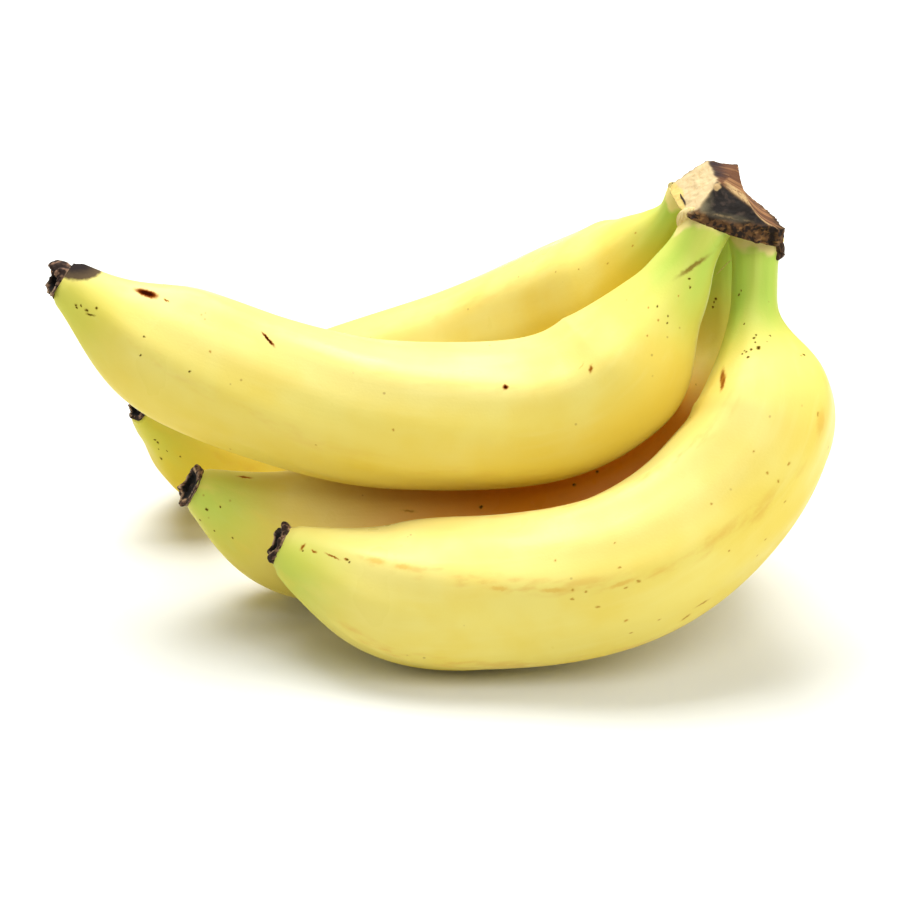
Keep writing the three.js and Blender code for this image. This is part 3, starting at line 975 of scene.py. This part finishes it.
@dataclass
class Crown:
    """The cut crown: a block on the seat with six cut faces and a hollowed one."""

    heart: Point = (75.0, -6.0, 101.0)
    outline: tuple[tuple[float, float], ...] = (
        (-9.0, -15.5), (10.3, -14.5), (11.4, -6.0), (10.8, 7.0), (7.0, 17.0),
        (-1.0, 20.0), (-8.0, 13.5), (-15.5, 4.5), (-14.8, -7.0),
    )
    apex: Point = (69.7, -12.0, 109.8)
    rim_left: Point = (63.9, -18.5, 104.2)
    rim_right: Point = (83.0, -18.5, 100.4)
    edge_low: Point = (82.4, -17.8, 101.5)
    top_left: Point = (67.7, 1.0, 111.1)
    top_right: Point = (76.2, 2.0, 109.5)
    scar_left: Point = (59.3, 2.0, 104.5)
    rim_back: Point = (71.5, 14.0, 103.0)
    hollow_radius: float = 12.3
    hollow_centre: Point = (88.2, -3.0, 109.3)
    hollow_tilt: float = -8.0
    torn_at: Point = (69.6, -13.3, 109.0)
    split_at: float = 82.9
    corner_sharpness: float = 6.0
    rim_sag: float = 0.4
    sag_at: float = 71.0
    sag_width: float = 7.0
    rings: int = 240
    sectors: int = 390

    def seat_frame(self) -> Array:
        """The seat's own axes as rows: two in the seat and its normal, turned from upright."""
        turn = Vector((0.0, 0.0, 1.0)).rotation_difference(Vector(SEAT_NORMAL)).to_matrix()
        return np.array(turn).T

    def hollow_axis(self) -> Array:
        """The hollow's axis: along Y, tilted about X so that it is higher at the front."""
        tilt = math.radians(self.hollow_tilt)
        return np.array([0.0, math.cos(tilt), math.sin(tilt)])

    def rays(self) -> Array:
        """Directions from the heart: from straight up off the seat to straight down, and all round."""
        down = np.linspace(0.0, math.pi, self.rings + 2)[1:-1, None]
        turn = np.linspace(-math.pi, math.pi, self.sectors, endpoint=False)[None, :]
        parts = (np.sin(down) * np.cos(turn), np.sin(down) * np.sin(turn), np.cos(down))
        return np.stack(np.broadcast_arrays(*parts), axis=-1) @ self.seat_frame()

    def plane_reach(self, rays: Array, corners: tuple[Point, Point, Point]) -> Array:
        """Distance from the heart along each ray to the plane through three corners, or a far value."""
        a, b, c = (np.array(corner) for corner in corners)
        heart = np.array(self.heart)
        normal = unit(np.cross(b - a, c - a))
        gap = float((a - heart) @ normal)
        if gap < 0:
            normal, gap = -normal, -gap
        slope = rays @ normal
        return np.where(slope > NEARLY_LEVEL, gap / np.maximum(slope, NEARLY_LEVEL), FAR)

    def wall_reach(self, rays: Array) -> Array:
        """Distance along each ray to the wall over the outline, by the outline's own polar radius."""
        axes = self.seat_frame()
        centre = (axes @ (np.array(self.heart) - SEAT_CENTRE))[:2]
        corners = np.array(self.outline + self.outline[:3])
        drawn = spline(corners, np.linspace(1.0, len(self.outline) + 1.0, 721)[:-1]) - centre
        angle = np.arctan2(drawn[:, 1], drawn[:, 0])
        order = np.argsort(angle)
        local = rays @ axes.T
        flat = np.hypot(local[..., 0], local[..., 1])
        reach = np.interp(
            np.arctan2(local[..., 1], local[..., 0]),
            angle[order],
            np.hypot(drawn[:, 0], drawn[:, 1])[order],
            period=2 * math.pi,
        )
        return reach / np.maximum(flat, NEARLY_LEVEL)

    def hollow_reach(self, rays: Array) -> Array:
        """Distance along each ray to the round hollow, where the ray meets its cylinder, or a far value."""
        axis = self.hollow_axis()
        offset = np.array(self.heart) - np.array(self.hollow_centre)
        offset = offset - (offset @ axis) * axis
        heading = rays - (rays @ axis)[..., None] * axis
        a = np.maximum((heading**2).sum(axis=-1), 1e-9)
        b = heading @ offset
        inside = b * b - a * (float(offset @ offset) - self.hollow_radius**2)
        near = (-b - np.sqrt(np.maximum(inside, 0.0))) / a
        return np.where((inside > 0.0) & (near > 0.0), near, FAR)

    def foot_reach(self, rays: Array) -> Array:
        """Distance along each downward ray to the seat, or a far value."""
        seat = float((np.array(self.heart) - SEAT_CENTRE) @ SEAT_NORMAL)
        fall = -(rays @ SEAT_NORMAL)
        return np.where(fall > NEARLY_LEVEL, seat / np.maximum(fall, NEARLY_LEVEL), FAR)

    def faces(self, rays: Array) -> dict[str, Array]:
        """Every face's distance along the rays, each a little ragged so that the edges wander.

        Args:
            rays: Directions from the heart.

        Returns:
            Distances by face.
        """
        ragged = 0.35 * soft_noise(rays * 10.0, 1.7, 27) + 0.2 * soft_noise(rays * 10.0, 0.8, 28)
        return {
            "scorched": self.plane_reach(rays, (self.apex, self.rim_left, self.rim_right)),
            "right": self.plane_reach(rays, (self.apex, self.edge_low, self.top_right)),
            "top": self.plane_reach(rays, (self.apex, self.top_left, self.top_right)),
            "cream": self.plane_reach(rays, (self.apex, self.rim_left, self.scar_left)) + ragged,
            "back": self.plane_reach(rays, (self.top_left, self.top_right, self.rim_back)),
            "back_left": self.plane_reach(rays, (self.top_left, self.scar_left, self.rim_back)),
            "hollow": self.hollow_reach(rays),
            "wall": self.wall_reach(rays) + 0.6 * ragged,
            "foot": self.foot_reach(rays),
        }

    def grooves(self, points: Array) -> Array:
        """Striations that run round the hollow: fine noise along its axis, slow noise along its arc."""
        axis = self.hollow_axis()
        away = points - np.array(self.hollow_centre)
        arc = np.arctan2(away[..., 2], away[..., 0]) * self.hollow_radius
        streak = np.stack([away @ axis, 0.1 * arc, np.zeros(arc.shape)], axis=-1)
        return 0.7 * soft_noise(streak, 1.1, 21) + 0.5 * soft_noise(streak, 0.5, 29)

    def split(self, points: Array, share: dict[str, Array]) -> Array:
        """Share of the dark gap that parts the rim's right end: a narrow upright band across the wall."""
        off = points[..., 0] - self.split_at + 0.4 * soft_noise(points, 3.0, 33)
        band = smooth_step(np.abs(off), 1.0, 0.45)
        return band * share["wall"] * smooth_step(points[..., 1], -8.0, -12.0)

    def relief(self, points: Array, share: dict[str, Array]) -> Array:
        """How far each face's own relief moves a point along its ray.

        The rim has lumps, the striated face grooves, the cream face waves, the scorched one
        crumples, a torn flake stands up at one edge and the rim is parted near its right end.

        Args:
            points: The smooth crown.
            share: Each face's share of every point.

        Returns:
            Millimetres outwards.
        """
        lumps = 0.6 * soft_noise(points, 2.2, 22) + 0.45 * soft_noise(points, 0.9, 23)
        layered = points * np.array([0.5, 0.5, 1.0])
        waves = 0.12 * soft_noise(layered, 1.1, 24) + 0.28 * soft_noise(points, 3.5, 25)
        crumple = 0.3 * soft_noise(points, 3.2, 26) + 0.12 * soft_noise(points, 0.9, 31) - 0.2
        flake = 0.7 * np.exp(-((points - np.array(self.torn_at)) ** 2).sum(axis=-1) / 1.1**2)
        striated = share["right"] + share["hollow"] + share["top"]
        behind = share["back"] + share["back_left"]
        return (
            (share["wall"] + 0.6 * behind) * lumps + 0.28 * striated * self.grooves(points)
            + share["cream"] * waves + share["scorched"] * crumple + flake - 0.8 * self.split(points, share)
        )

    def notes(self, points: Array, share: dict[str, Array]) -> dict[str, Array]:
        """What the finish needs to know at each point.

        Bands follow the scorched face's lower edge and the edge that it shares with the striated
        one, ash gathers in its lower left, plum at the top left of the striated face, and yellow rind
        is left on the lower left of the cream one.

        Args:
            points: The finished points.
            share: Each face's share of every point.

        Returns:
            Values by ring and sector, under the names that the finish reads.
        """
        apex, left, right = (np.array(corner) for corner in (self.apex, self.rim_left, self.rim_right))
        edge = unit(right - left)
        normal = unit(np.cross(right - apex, left - apex))
        rise = unit(apex - left - ((apex - left) @ edge) * edge)
        sideways, upwards = (points - left) @ edge, (points - left) @ rise
        behind = np.abs((points - left) @ normal)
        speckle = soft_noise(points, 1.0, 32)
        drift = soft_noise(points, 3.0, 33)
        striated = share["right"] + share["hollow"] + share["top"]
        border = smooth_step(behind, 2.1, 1.3) * smooth_step(sideways, 5.5, 9.0) * striated
        hem = 0.35 * smooth_step(np.abs(upwards - 0.3), 0.4, 0.1) * smooth_step(sideways, 17.0, 10.0)
        ash = smooth_step(sideways + 1.2 * drift, 5.0, 0.5) * smooth_step(upwards + speckle, 6.0, 3.0)
        dust = 0.2 * smooth_step(upwards + 0.6 * speckle, 1.8, 0.4) * smooth_step(sideways, 16.0, 11.0)
        left_side = smooth_step(points[..., 0] + 0.4 * drift, 62.1, 61.2)
        left_side = left_side * smooth_step(points[..., 2], 105.3, 104.7)
        plum = smooth_step(points[..., 0] + 1.3 * drift + 0.5 * speckle, 73.5, 69.0)
        from_tear = np.linalg.norm(points - np.array(self.torn_at), axis=-1)
        return {
            "cream": share["cream"],
            "scorched": share["scorched"],
            "striated": striated,
            "strip": np.clip(border + hem * smooth_step(speckle, -0.5, 0.4), 0.0, 1.0),
            "groove": smooth_step(self.grooves(points), -0.1, 0.6) * 0.85,
            "plum": plum * smooth_step(behind, 1.0, 3.0),
            "ash": np.maximum(ash, dust),
            "torn": smooth_step(from_tear + 0.5 * speckle, 1.2, 0.8),
            "rind": left_side * np.clip(share["cream"] + share["wall"] + share["back_left"], 0.0, 1.0),
            "split": self.split(points, share),
        }

    def build(self) -> Piece:
        """The crown as a star-shaped surface: along every ray from its heart the nearest face wins.

        The faces' distances are joined by a soft minimum, so the corners are slightly rounded. Each
        face's share of that minimum is written on the points for the finish, and moves the points
        by that face's own relief. The front rim sags a little over the stalks.

        Returns:
            The piece.
        """
        rays = self.rays()
        faces = self.faces(rays)
        stack = np.stack(list(faces.values()))
        nearest = stack.min(axis=0)
        weights = np.exp(-self.corner_sharpness * (stack - nearest))
        reach = nearest - np.log(weights.sum(axis=0)) / self.corner_sharpness
        share = dict(zip(faces, weights / weights.sum(axis=0)))
        points = np.array(self.heart) + reach[..., None] * rays
        points = points + self.relief(points, share)[..., None] * rays

        low = smooth_step((points - SEAT_CENTRE) @ SEAT_NORMAL, 4.0, 0.5)
        front = smooth_step(points[..., 1], -12.0, -17.0)
        middle = bell(points[..., 0], self.sag_at, self.sag_width)
        points = points - (self.rim_sag * low * front * middle)[..., None] * SEAT_NORMAL

        piece = closed_skin("crown_cut", points, points[0].mean(axis=0), points[-1].mean(axis=0))
        for name, values in self.notes(points, share).items():
            note_on(piece, name, values, values[0].mean(), values[-1].mean())
        return piece

    def dress(self, piece: Piece, finish: CrownFinish) -> None:
        """Gives the crown its faces' finish."""
        settle(piece, "crown", finish.material("dried_crown"))


@dataclass
class Shred:
    """A loose shred of dry stem: a ribbed strand along a curve, thick in the middle, thin at its ends."""

    name: str
    path: Array
    radius: float
    roughness: float = 0.2
    seed: int = 41
    rings: int = 90
    sectors: int = 28

    def build(self) -> Piece:
        """Carries a round section along the curve; its radius swells as a half sine and is ribbed.

        Returns:
            The piece.
        """
        share = np.linspace(0.0, 1.0, self.rings)
        centre = spline(self.path, share * (len(self.path) - 1))
        forward = unit(np.gradient(centre, axis=0))
        side = unit(np.cross(forward, np.array([0.2, 0.3, 0.93])))
        lift = np.cross(side, forward)
        turn = np.linspace(0.0, 2 * math.pi, self.sectors, endpoint=False)[None, :]
        swell = (0.25 + 0.75 * np.sin(math.pi * share) ** 0.6)[:, None]
        parts = (np.cos(turn) * 3.0, np.sin(turn) * 3.0, 2.0 * share[:, None])
        ring = np.stack(np.broadcast_arrays(*parts), axis=-1)
        reach = self.radius * swell * (1.0 + self.roughness * soft_noise(ring, 0.8, self.seed))
        points = (
            centre[:, None]
            + (reach * np.cos(turn))[..., None] * side[:, None]
            + (reach * np.sin(turn))[..., None] * lift[:, None]
        )
        return closed_skin(self.name, points, centre[0], centre[-1])

    def dress(self, piece: Piece, finish: FibreFinish) -> None:
        """Gives the shred its dry finish; it stands for no solid."""
        settle(piece, None, finish.material(self.name))


# The bunch

def fingers() -> list[Finger]:
    """The four fingers, with the centrelines of their solids.

    Returns:
        Upper, back, front and middle.
    """
    scab, fleck, scar, streak, rust, scuff, scorch = Blemish
    upper = Finger(
        "upper", radius=18.2, flare_at=31, flare_length=36, nose_length=55, tip_radius=5.3, first_ridge=80,
        ridge_twist=90, seed=1, path=(
            (70, -11.5, 103.5), (56.5, -18, 80.5), (44, -23.5, 63), (25.5, -26.5, 54.5),
            (-5.5, -29, 54.5), (-32, -25, 58), (-68.5, -18.5, 70), (-92, -15.5, 85),
        ),
        green_stalk=27.0, green_depth=0.78, green_nose=0.5, green_side=40.0, rub=0.15, lip=0.6, lip_tail=5.5,
        lip_side=165.0, painted_underside_shade=0.45, painted_crevice_shade=0.06, crevice_shade_side=25.0, crevice_shade_from=45.0, crevice_shade_to=140.0, swells=(
            Swell(20, 8, 2.0, 8, 50), Swell(18, -178, 0.9, 6, 45), Swell(104, 0, 0.5, 26, 45),
            Swell(169, 12, 1.2, 13, 45), Swell(166, 178, 0.7, 9, 45), Swell(183, 170, -0.5, 7, 45),
            Swell(143, 168, -0.6, 11, 45), Swell(196, -174, 0.9, 6, 60),
        ),
        marks=(
            Mark(196, 168, 15.5, 11.0, 0, scorch),
            Mark(176.6, 144.5, 8.0, 2.8, 11, scab), Mark(170.3, 140, 2.6, 0.6, 19, streak),
            Mark(140.6, 132.8, 5.8, 0.9, 32, scab), Mark(80, 118, 1.9, 1.7, 0, scab),
            Mark(52.4, 109.5, 2.6, 1.2, -44, streak), Mark(54, 116, 3.0, 0.6, -20, scuff),
            Mark(15.9, 76.2, 11.0, 1.3, 29, scar), Mark(185.8, 79.2, 2.6, 0.7, -30, fleck),
            *flecks(1.1, fleck, (185.5, 92.5), (187.2, 80)),
            *flecks(0.8, fleck, (31, 77), (29.4, 79), (20.6, 64), (19, 72), (156, 85), (28.7, 97.5)),
            *flecks(0.7, fleck, (189.5, 71), (188.8, 79.5), (190, 73.5), (170.8, 95.5), (169.5, 78.5)),
            *flecks(0.7, rust, (36, 91), (105, 84), (121, 62), (23.9, 78), (30, 106), (31.5, 88)),
            *flecks(0.8, rust, (153, 106), (142, 14), (98, -30), (62, -60), (113, -110), (82, 174)),
        ),
    )
    back = Finger(
        "back", radius=19.5, flare_at=30, flare_length=43, nose_length=48, tip_radius=3.8, first_ridge=56,
        ridge_twist=0, seed=2, path=(
            (66, 1.5, 104.5), (59, 9.5, 88.5), (51, 22, 70), (33.5, 41.5, 53),
            (7.5, 56, 36), (-25.5, 55.5, 24.5), (-55, 36.5, 19), (-78, 14.5, 37.5),
        ),
        green_stalk=17.0, green_depth=0.9, green_nose=0.45, green_side=85.0, rub=0.15, lip=1.6, lip_tail=3.0,
        lip_side=160.0, painted_underside_shade=0.9, painted_crevice_shade=0.02, crevice_shade_side=145.0, crevice_shade_from=20.0, crevice_shade_to=75.0, swells=(
            Swell(30, -98, 1.5, 9, 55), Swell(12, -125, -0.8, 6, 50), Swell(78, -100, 0.5, 18, 50),
            Swell(206, 35, -0.7, 6, 40), Swell(212, 15, 0.6, 5, 40),
        ),
        marks=(
            *flecks(0.8, rust, (20, -170), (22, 174), (48, -163), (39, -168), (30, -180)),
            *flecks(1.1, fleck, (205, 62)),
            *flecks(0.8, fleck, (210, 80), (211, 78)),
            *flecks(0.6, fleck, (204, 95), (208, 70), (207, 84)),
            Mark(122, 10, 6.0, 1.0, 15, rust), Mark(91, -60, 3.0, 1.4, -30, scab),
            *flecks(1.2, rust, (142, -20), (76, 30), (106, -80), (162, 40), (61, -20)),
        ),
    )
    front = Finger(
        "front", radius=19.0, flare_at=39, flare_length=35, nose_length=50, tip_radius=5.5, first_ridge=12,
        ridge_twist=108, ridge_edge=0.012, collar_rise=1.0, seed=3, path=(
            (80.5, -5.5, 99.5), (79.5, -17, 78), (80.5, -35.5, 57), (68.5, -47, 40.5),
            (47, -56.5, 27.5), (18.5, -56, 19.5), (-11.5, -54.5, 19.2), (-37, -48.5, 28.5),
        ),
        green_stalk=32.0, green_depth=0.95, green_nose=0.7, green_side=40.0, rub=0.38, lip=2.4, lip_tail=2.2,
        lip_side=140.0, painted_underside_shade=0.12, swells=(
            Swell(57, 178, -2.2, 13, 62), Swell(84, 170, -0.7, 14, 55), Swell(5, -178, 0.8, 5, 40),
            Swell(120, 165, -0.4, 25, 40), Swell(187, -4, 1.2, 8, 50), Swell(42, 28, 1.0, 8, 45),
            Swell(57, 13, -0.5, 9, 45),
        ),
        marks=(
            Mark(45.8, 135, 8.6, 2.1, -14, streak), Mark(48.3, 131.5, 7.6, 1.9, -3, streak),
            *flecks(1.5, fleck, (38.9, 95)),
            *flecks(1.0, fleck, (35.4, 99), (39.6, 108.5), (41.5, 106.5), (39.2, 103.5)),
            *flecks(0.7, fleck, (34.5, 95.5), (39.9, 114), (35.1, 76.5), (36.9, 98), (39, 111)),
            *flecks(0.7, fleck, (21.4, 135), (20.4, 128), (30, 115), (41.3, 48.3)),
            Mark(185.8, 98, 1.0, 2.2, 10, streak), Mark(182.8, 97, 1.6, 0.6, 8, streak),
            Mark(178, 99.5, 4.6, 0.6, 6, streak), Mark(174.5, 101, 1.6, 0.8, 0, streak),
            *flecks(0.7, fleck, (185.4, 91), (174.2, 101), (173.4, 99)),
            Mark(166.5, 105.5, 7.0, 2.4, 6, scuff), Mark(159, 102, 6.0, 2.0, 0, scuff),
            Mark(134, 84, 7.0, 1.6, 8, scuff), Mark(120, 78, 8.0, 1.6, 8, scuff),
            Mark(94.5, 14.2, 3.6, 0.9, 10, rust), Mark(98.3, 10, 2.6, 0.9, -10, rust),
            Mark(54, 44, 6.0, 4.0, 0, scuff), Mark(106, 70, 7.0, 1.4, 0, scuff),
            *flecks(0.9, rust, (65, 84), (63, 57), (67, 67), (67, 57), (69, 41), (82, 83)),
            *flecks(0.8, rust, (77.2, 27), (85.5, 47.5), (80.4, 18), (104.3, 99), (118, 99), (105.3, 81)),
            *flecks(1.0, rust, (115.5, 75.5), (116.1, 69), (111.7, 58), (107.8, 38.5), (103.4, 67), (53, 48)),
            *flecks(0.9, rust, (112.9, 72), (105.6, 66), (107.8, 23), (102.7, 25.5)),
            *flecks(1.1, rust, (91, -40), (122, -70), (71, -90), (142, -120), (61, 175)),
        ),
    )
    middle = Finger(
        "middle", radius=18.0, flare_at=45, flare_length=31, nose_length=46, tip_radius=5.5, first_ridge=30,
        ridge_twist=80, seed=4, path=(
            (76, 10.5, 99.5), (74, 8, 82), (73.5, 3, 56.5), (60.5, -5, 31),
            (34, -12.5, 18), (-2.5, -17, 17.5), (-37.5, -20.5, 19.5), (-61, -21, 31.5),
        ),
        green_stalk=28.0, green_depth=0.95, green_nose=0.8, green_side=95.0, rub=0.15, lip=0.8, painted_underside_shade=0.3,
        painted_crevice_shade=0.95, crevice_shade_side=130.0, crevice_shade_from=52.0, crevice_shade_to=150.0,
        swells=(Swell(29, -168, 0.8, 8, 50),),
        marks=(
            *flecks(1.0, fleck, (198.7, 71.5), (30.2, 170.5), (26.8, 124)),
            *flecks(0.8, fleck, (198.4, 37), (28.9, 132.5), (27.6, 128)),
            *flecks(0.6, fleck, (196.3, 92), (190, 64), (194.3, 50.5)),
            *flecks(1.2, fleck, (94, 136), (102, 133), (129, 123)),
            *flecks(0.7, rust, (50.6, 120)),
            Mark(194, 161, 4.0, 1.2, 0, streak), Mark(147, 121, 4.0, 0.8, 10, rust),
            *flecks(1.0, rust, (81, -60), (121, -20), (61, -100), (152, 10)),
        ),
    )
    return [upper, back, front, middle]


def shreds(upper: Finger, front: Finger, middle: Finger) -> list[tuple[Shred, FibreFinish]]:
    """The scraps at the crown: a brown curl, a pale hair, a cream strip and a dark sliver.

    Args:
        upper: The finger that the strip hangs on.
        front: The finger that the curl lies on.
        middle: The finger that the hair runs to.

    Returns:
        Each shred with its finish.
    """
    curl = np.array([
        front.spot(7.2, 62.0, 0.3), front.spot(7.6, 42.0, 0.5), front.spot(9.6, 26.0, 0.5),
        front.spot(12.0, 30.0, 0.1),
    ])
    start, end = front.spot(12.0, 178.0, -0.1), middle.spot(20.5, 121.0, -0.1)
    near_start = 0.65 * start + 0.35 * end + [0, -1.2, 0.8]
    near_end = 0.3 * start + 0.7 * end + [0, -0.8, 0.4]
    hair = np.array([start, near_start, near_end, end])
    strip = np.array([
        [63.9, -16.6, 104.2], upper.spot(5.6, 158.0, 0.2), upper.spot(7.0, 170.0, 0.1),
        upper.spot(9.2, 182.0, -0.3),
    ])
    sliver = np.array([
        [61.0, -6.4, 104.7], [61.2, -8.4, 104.5], [61.6, -10.4, 104.3], [61.8, -12.4, 104.0],
    ])
    cream = FibreFinish(tone(224, 204, 146), tone(212, 184, 122))
    dark = FibreFinish(tone(60, 44, 30), tone(34, 24, 16))
    brown = FibreFinish(tone(84, 58, 38), tone(38, 25, 16))
    pale = FibreFinish(tone(216, 208, 132), tone(190, 174, 100))
    return [
        (Shred("torn_strip", strip, radius=1.5, roughness=0.1, seed=43), cream),
        (Shred("dark_sliver", sliver, radius=0.26, roughness=0.3, seed=44, rings=50, sectors=14), dark),
        (Shred("curl_of_rind", curl, radius=1.15, roughness=0.35, seed=41), brown),
        (Shred("loose_hair", hair, radius=0.13, roughness=0.1, seed=42, rings=60, sectors=12), pale),
    ]


# The studio

@dataclass(frozen=True)
class Lamp:
    """One square soft light: its name, its place and side in metres, and its watts."""

    name: str
    place: Point
    width: float
    power: float


@dataclass(frozen=True)
class Studio:
    """A pale floor, soft light from all round and above, and the photograph's own viewpoint."""

    floor_width: float = 14.0
    look_at: Point = (0.004, -0.026, 0.044)
    distance: float = 0.7
    elevation: float = 24.0
    lens: float = 112.0
    lens_back: float = 36.0
    nearest: float = 0.01
    farthest: float = 50.0
    floor_paint: Paint = (0.79, 0.8, 0.77)
    surround: float = 0.16
    surround_paint: Paint = (1.0, 0.95, 0.78)
    lamps: tuple[Lamp, ...] = (
        Lamp("overhead", (-0.1, 0.36, 1.0), 0.85, 17.5),
        Lamp("front_fill", (0.3, -0.8, 1.1), 0.9, 6.5),
        Lamp("side_fill", (1.0, -0.3, 0.7), 1.2, 8.6),
        Lamp("low_fill", (-0.9, -0.1, 0.25), 0.6, 1.6),
    )

    def floor(self) -> None:
        """Lays a plain pale floor under the bunch."""
        half = self.floor_width / 2
        mesh = bpy.data.meshes.new("floor")
        corners = [(-half, -half, 0), (half, -half, 0), (half, half, 0), (-half, half, 0)]
        mesh.from_pydata(corners, [], [(0, 1, 2, 3)])
        floor = bpy.data.objects.new("floor", mesh)
        bpy.context.scene.collection.objects.link(floor)
        pale = Recipe("pale_floor", roughness=0.9, specular=0.1)
        pale.shader.inputs["Base Color"].default_value = (*self.floor_paint, 1.0)
        mesh.materials.append(pale.material)

    def hang(self, lamp: Lamp) -> None:
        """Hangs one light so that it faces the bunch.

        Args:
            lamp: The light.
        """
        light = bpy.data.lights.new(lamp.name, "AREA")
        light.shape = "SQUARE"
        light.size = lamp.width
        light.energy = lamp.power
        holder = bpy.data.objects.new(lamp.name, light)
        holder.location = lamp.place
        heading = Vector(self.look_at) - Vector(lamp.place)
        holder.rotation_euler = heading.to_track_quat("-Z", "Y").to_euler()
        bpy.context.scene.collection.objects.link(holder)

    def light(self) -> None:
        """Sets the warm surround, the main light overhead and weak ones from the front and the sides."""
        world = bpy.data.worlds.new("warm_surround")
        world.use_nodes = True
        surround = world.node_tree.nodes["Background"]
        surround.inputs["Color"].default_value = (*self.surround_paint, 1.0)
        surround.inputs["Strength"].default_value = self.surround
        bpy.context.scene.world = world
        for lamp in self.lamps:
            self.hang(lamp)
        bpy.context.scene.view_settings.view_transform = "Standard"

    def camera(self) -> None:
        """Sets the camera at the photograph's angle: straight along +Y, looking down by the elevation."""
        tilt = math.radians(self.elevation)
        back = Vector((0.0, -math.cos(tilt), math.sin(tilt)))
        eye = bpy.data.cameras.new("eye")
        eye.lens = self.lens
        eye.sensor_width = self.lens_back
        eye.clip_start = self.nearest
        eye.clip_end = self.farthest
        holder = bpy.data.objects.new("eye", eye)
        holder.location = Vector(self.look_at) + back * self.distance
        holder.rotation_euler = (math.pi / 2 - tilt, 0.0, 0.0)
        bpy.context.scene.collection.objects.link(holder)
        bpy.context.scene.camera = holder

    def build(self) -> None:
        """Sets up the floor, the light and the camera."""
        self.floor()
        self.light()
        self.camera()


def write_sizes() -> None:
    """Updates the view layer so that every piece's place is current."""
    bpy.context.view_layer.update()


def main() -> None:
    """Builds and dresses every piece of the bunch, then sets the studio round it."""
    logging.basicConfig(level=logging.INFO, format="%(message)s")
    peel, blossom = PeelFinish(), BlossomFinish()
    bunch = fingers()
    for finger in bunch:
        finger.dress(finger.build(), peel)
    upper, back, front, middle = bunch
    ends = [
        BlossomEnd(
            upper, radius=4.6, length=2.6, tall_side=(0.2, 0.6, 0.8), lean=0.0, aim=(0.0, -0.4, -0.5),
            lobes=3, lobe_depth=0.12, seed=3,
        ),
        BlossomEnd(back, radius=2.9, length=1.4, lean=0.3, wave=0.15, seed=4),
        BlossomEnd(front, radius=5.2, length=2.2, lean=0.2, aim=(0.05, -0.15, 0.16), wave=0.2, seed=5),
        BlossomEnd(middle, radius=5.3, length=1.4, lean=0.3, aim=(0.1, -0.2, 0.1), wave=0.2, seed=6),
    ]
    for end in ends:
        end.dress(end.build(), blossom)
    crown = Crown()
    crown.dress(crown.build(), CrownFinish())
    for shred, finish in shreds(upper, front, middle):
        shred.dress(shred.build(), finish)
    Studio().build()
    write_sizes()


if __name__ == "__main__":
    main()
